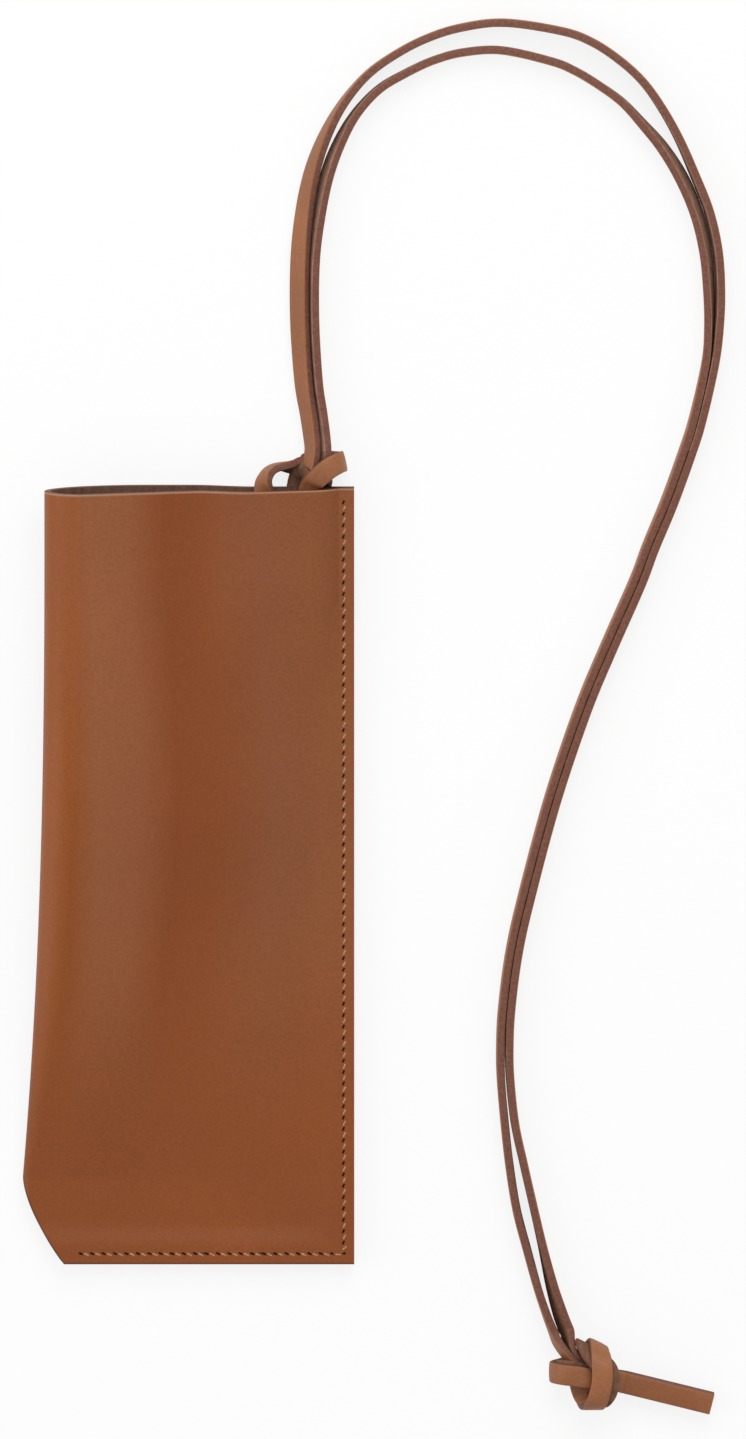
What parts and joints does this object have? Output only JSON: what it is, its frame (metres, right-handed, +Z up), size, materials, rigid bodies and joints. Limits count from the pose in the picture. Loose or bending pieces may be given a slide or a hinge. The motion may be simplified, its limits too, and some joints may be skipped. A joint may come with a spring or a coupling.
{
  "type": "sunglasses case",
  "caption": "Flat folded leather sleeve for sunglasses, stitched along one side and the bottom, open at the mouth, with a doubled flat lace neck strap that ends in a knot.",
  "frame": {"origin": "under the middle of the case, on the surface that it lies on", "axes": "+Y towards the open mouth, +X towards the stitched side, +Z up out of the front panel"},
  "size_m": [0.1607, 0.3229, 0.0164],
  "materials": {
    "case_leather": "smooth vegetable-tanned leather, tan, satin, with a raw flesh side inside",
    "lace_leather": "flat cut lace, satin grain side, raw edges and flesh side",
    "seam_thread": "waxed twisted thread, light tan, matt"
  },
  "bodies": {
    "case": {"case_body": "case_leather", "seam_thread_front": "seam_thread", "seam_thread_back": "seam_thread"},
    "strap": {"strap_hitch": "lace_leather", "strap_strand_outer": "lace_leather", "strap_strand_inner": "lace_leather", "end_knot": "lace_leather", "strap_tail_upper": "lace_leather", "strap_tail_lower": "lace_leather"}
  },
  "joints": [
    {"name": "strap_swing", "type": "hinge", "parent": "case", "child": "strap", "pos_m": [0.023, 0.076, 0], "axis": [0, 0, 1], "range_deg": [0, 3]}
  ]
}
